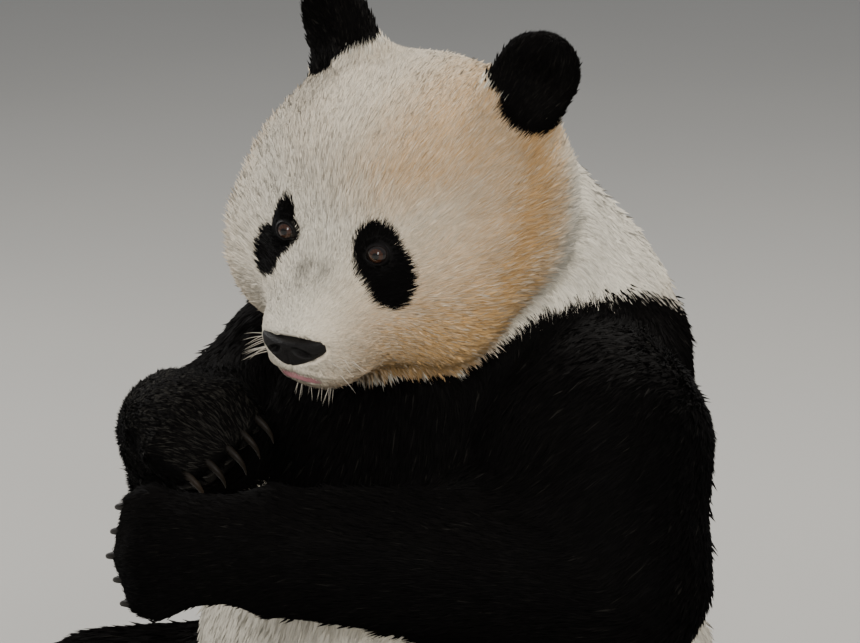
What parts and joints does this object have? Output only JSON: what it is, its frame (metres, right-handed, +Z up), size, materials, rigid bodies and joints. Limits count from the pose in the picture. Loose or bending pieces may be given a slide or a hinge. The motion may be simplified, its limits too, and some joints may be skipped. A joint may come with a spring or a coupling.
{
  "type": "giant panda model",
  "caption": "Life-size still model of a giant panda sitting upright, head turned to its left, forepaws together in front of its chest.",
  "frame": {"origin": "on the floor, under the middle of the whole model's bounding box", "axes": "+Z up, -Y the way the sitting panda's trunk faces, +X its left side"},
  "size_m": [0.784, 0.837, 0.9668],
  "materials": {
    "white_coat": "dense cream-white fur",
    "black_coat": "dense black fur with a brown sheen",
    "nose_leather": "moist pebbled nose skin",
    "eye": "wet, dark brown eye",
    "claw_horn": "smooth claw horn"
  },
  "bodies": {
    "root": {"head": "white_coat", "neck": "white_coat", "shoulders": "black_coat", "trunk": "white_coat", "tail": "white_coat", "ear_left": "black_coat", "ear_right": "black_coat", "eye_left": "eye", "eye_right": "eye", "nose": "nose_leather", "upper_arm_left": "black_coat", "forearm_left": "black_coat", "forepaw_left": "black_coat", "upper_arm_right": "black_coat", "forearm_right": "black_coat", "forepaw_right": "black_coat", "thigh_left": "black_coat", "shank_left": "black_coat", "foot_left": "black_coat", "thigh_right": "black_coat", "shank_right": "black_coat", "foot_right": "black_coat", "claw_fore_left_1": "claw_horn", "claw_fore_left_2": "claw_horn", "claw_fore_left_3": "claw_horn", "claw_fore_left_4": "claw_horn", "claw_fore_left_5": "claw_horn", "claw_fore_right_1": "claw_horn", "claw_fore_right_2": "claw_horn", "claw_fore_right_3": "claw_horn", "claw_fore_right_4": "claw_horn", "claw_fore_right_5": "claw_horn", "claw_hind_left_1": "claw_horn", "claw_hind_left_2": "claw_horn", "claw_hind_left_3": "claw_horn", "claw_hind_left_4": "claw_horn", "claw_hind_left_5": "claw_horn", "claw_hind_right_1": "claw_horn", "claw_hind_right_2": "claw_horn", "claw_hind_right_3": "claw_horn", "claw_hind_right_4": "claw_horn", "claw_hind_right_5": "claw_horn"}
  },
  "joints": []
}
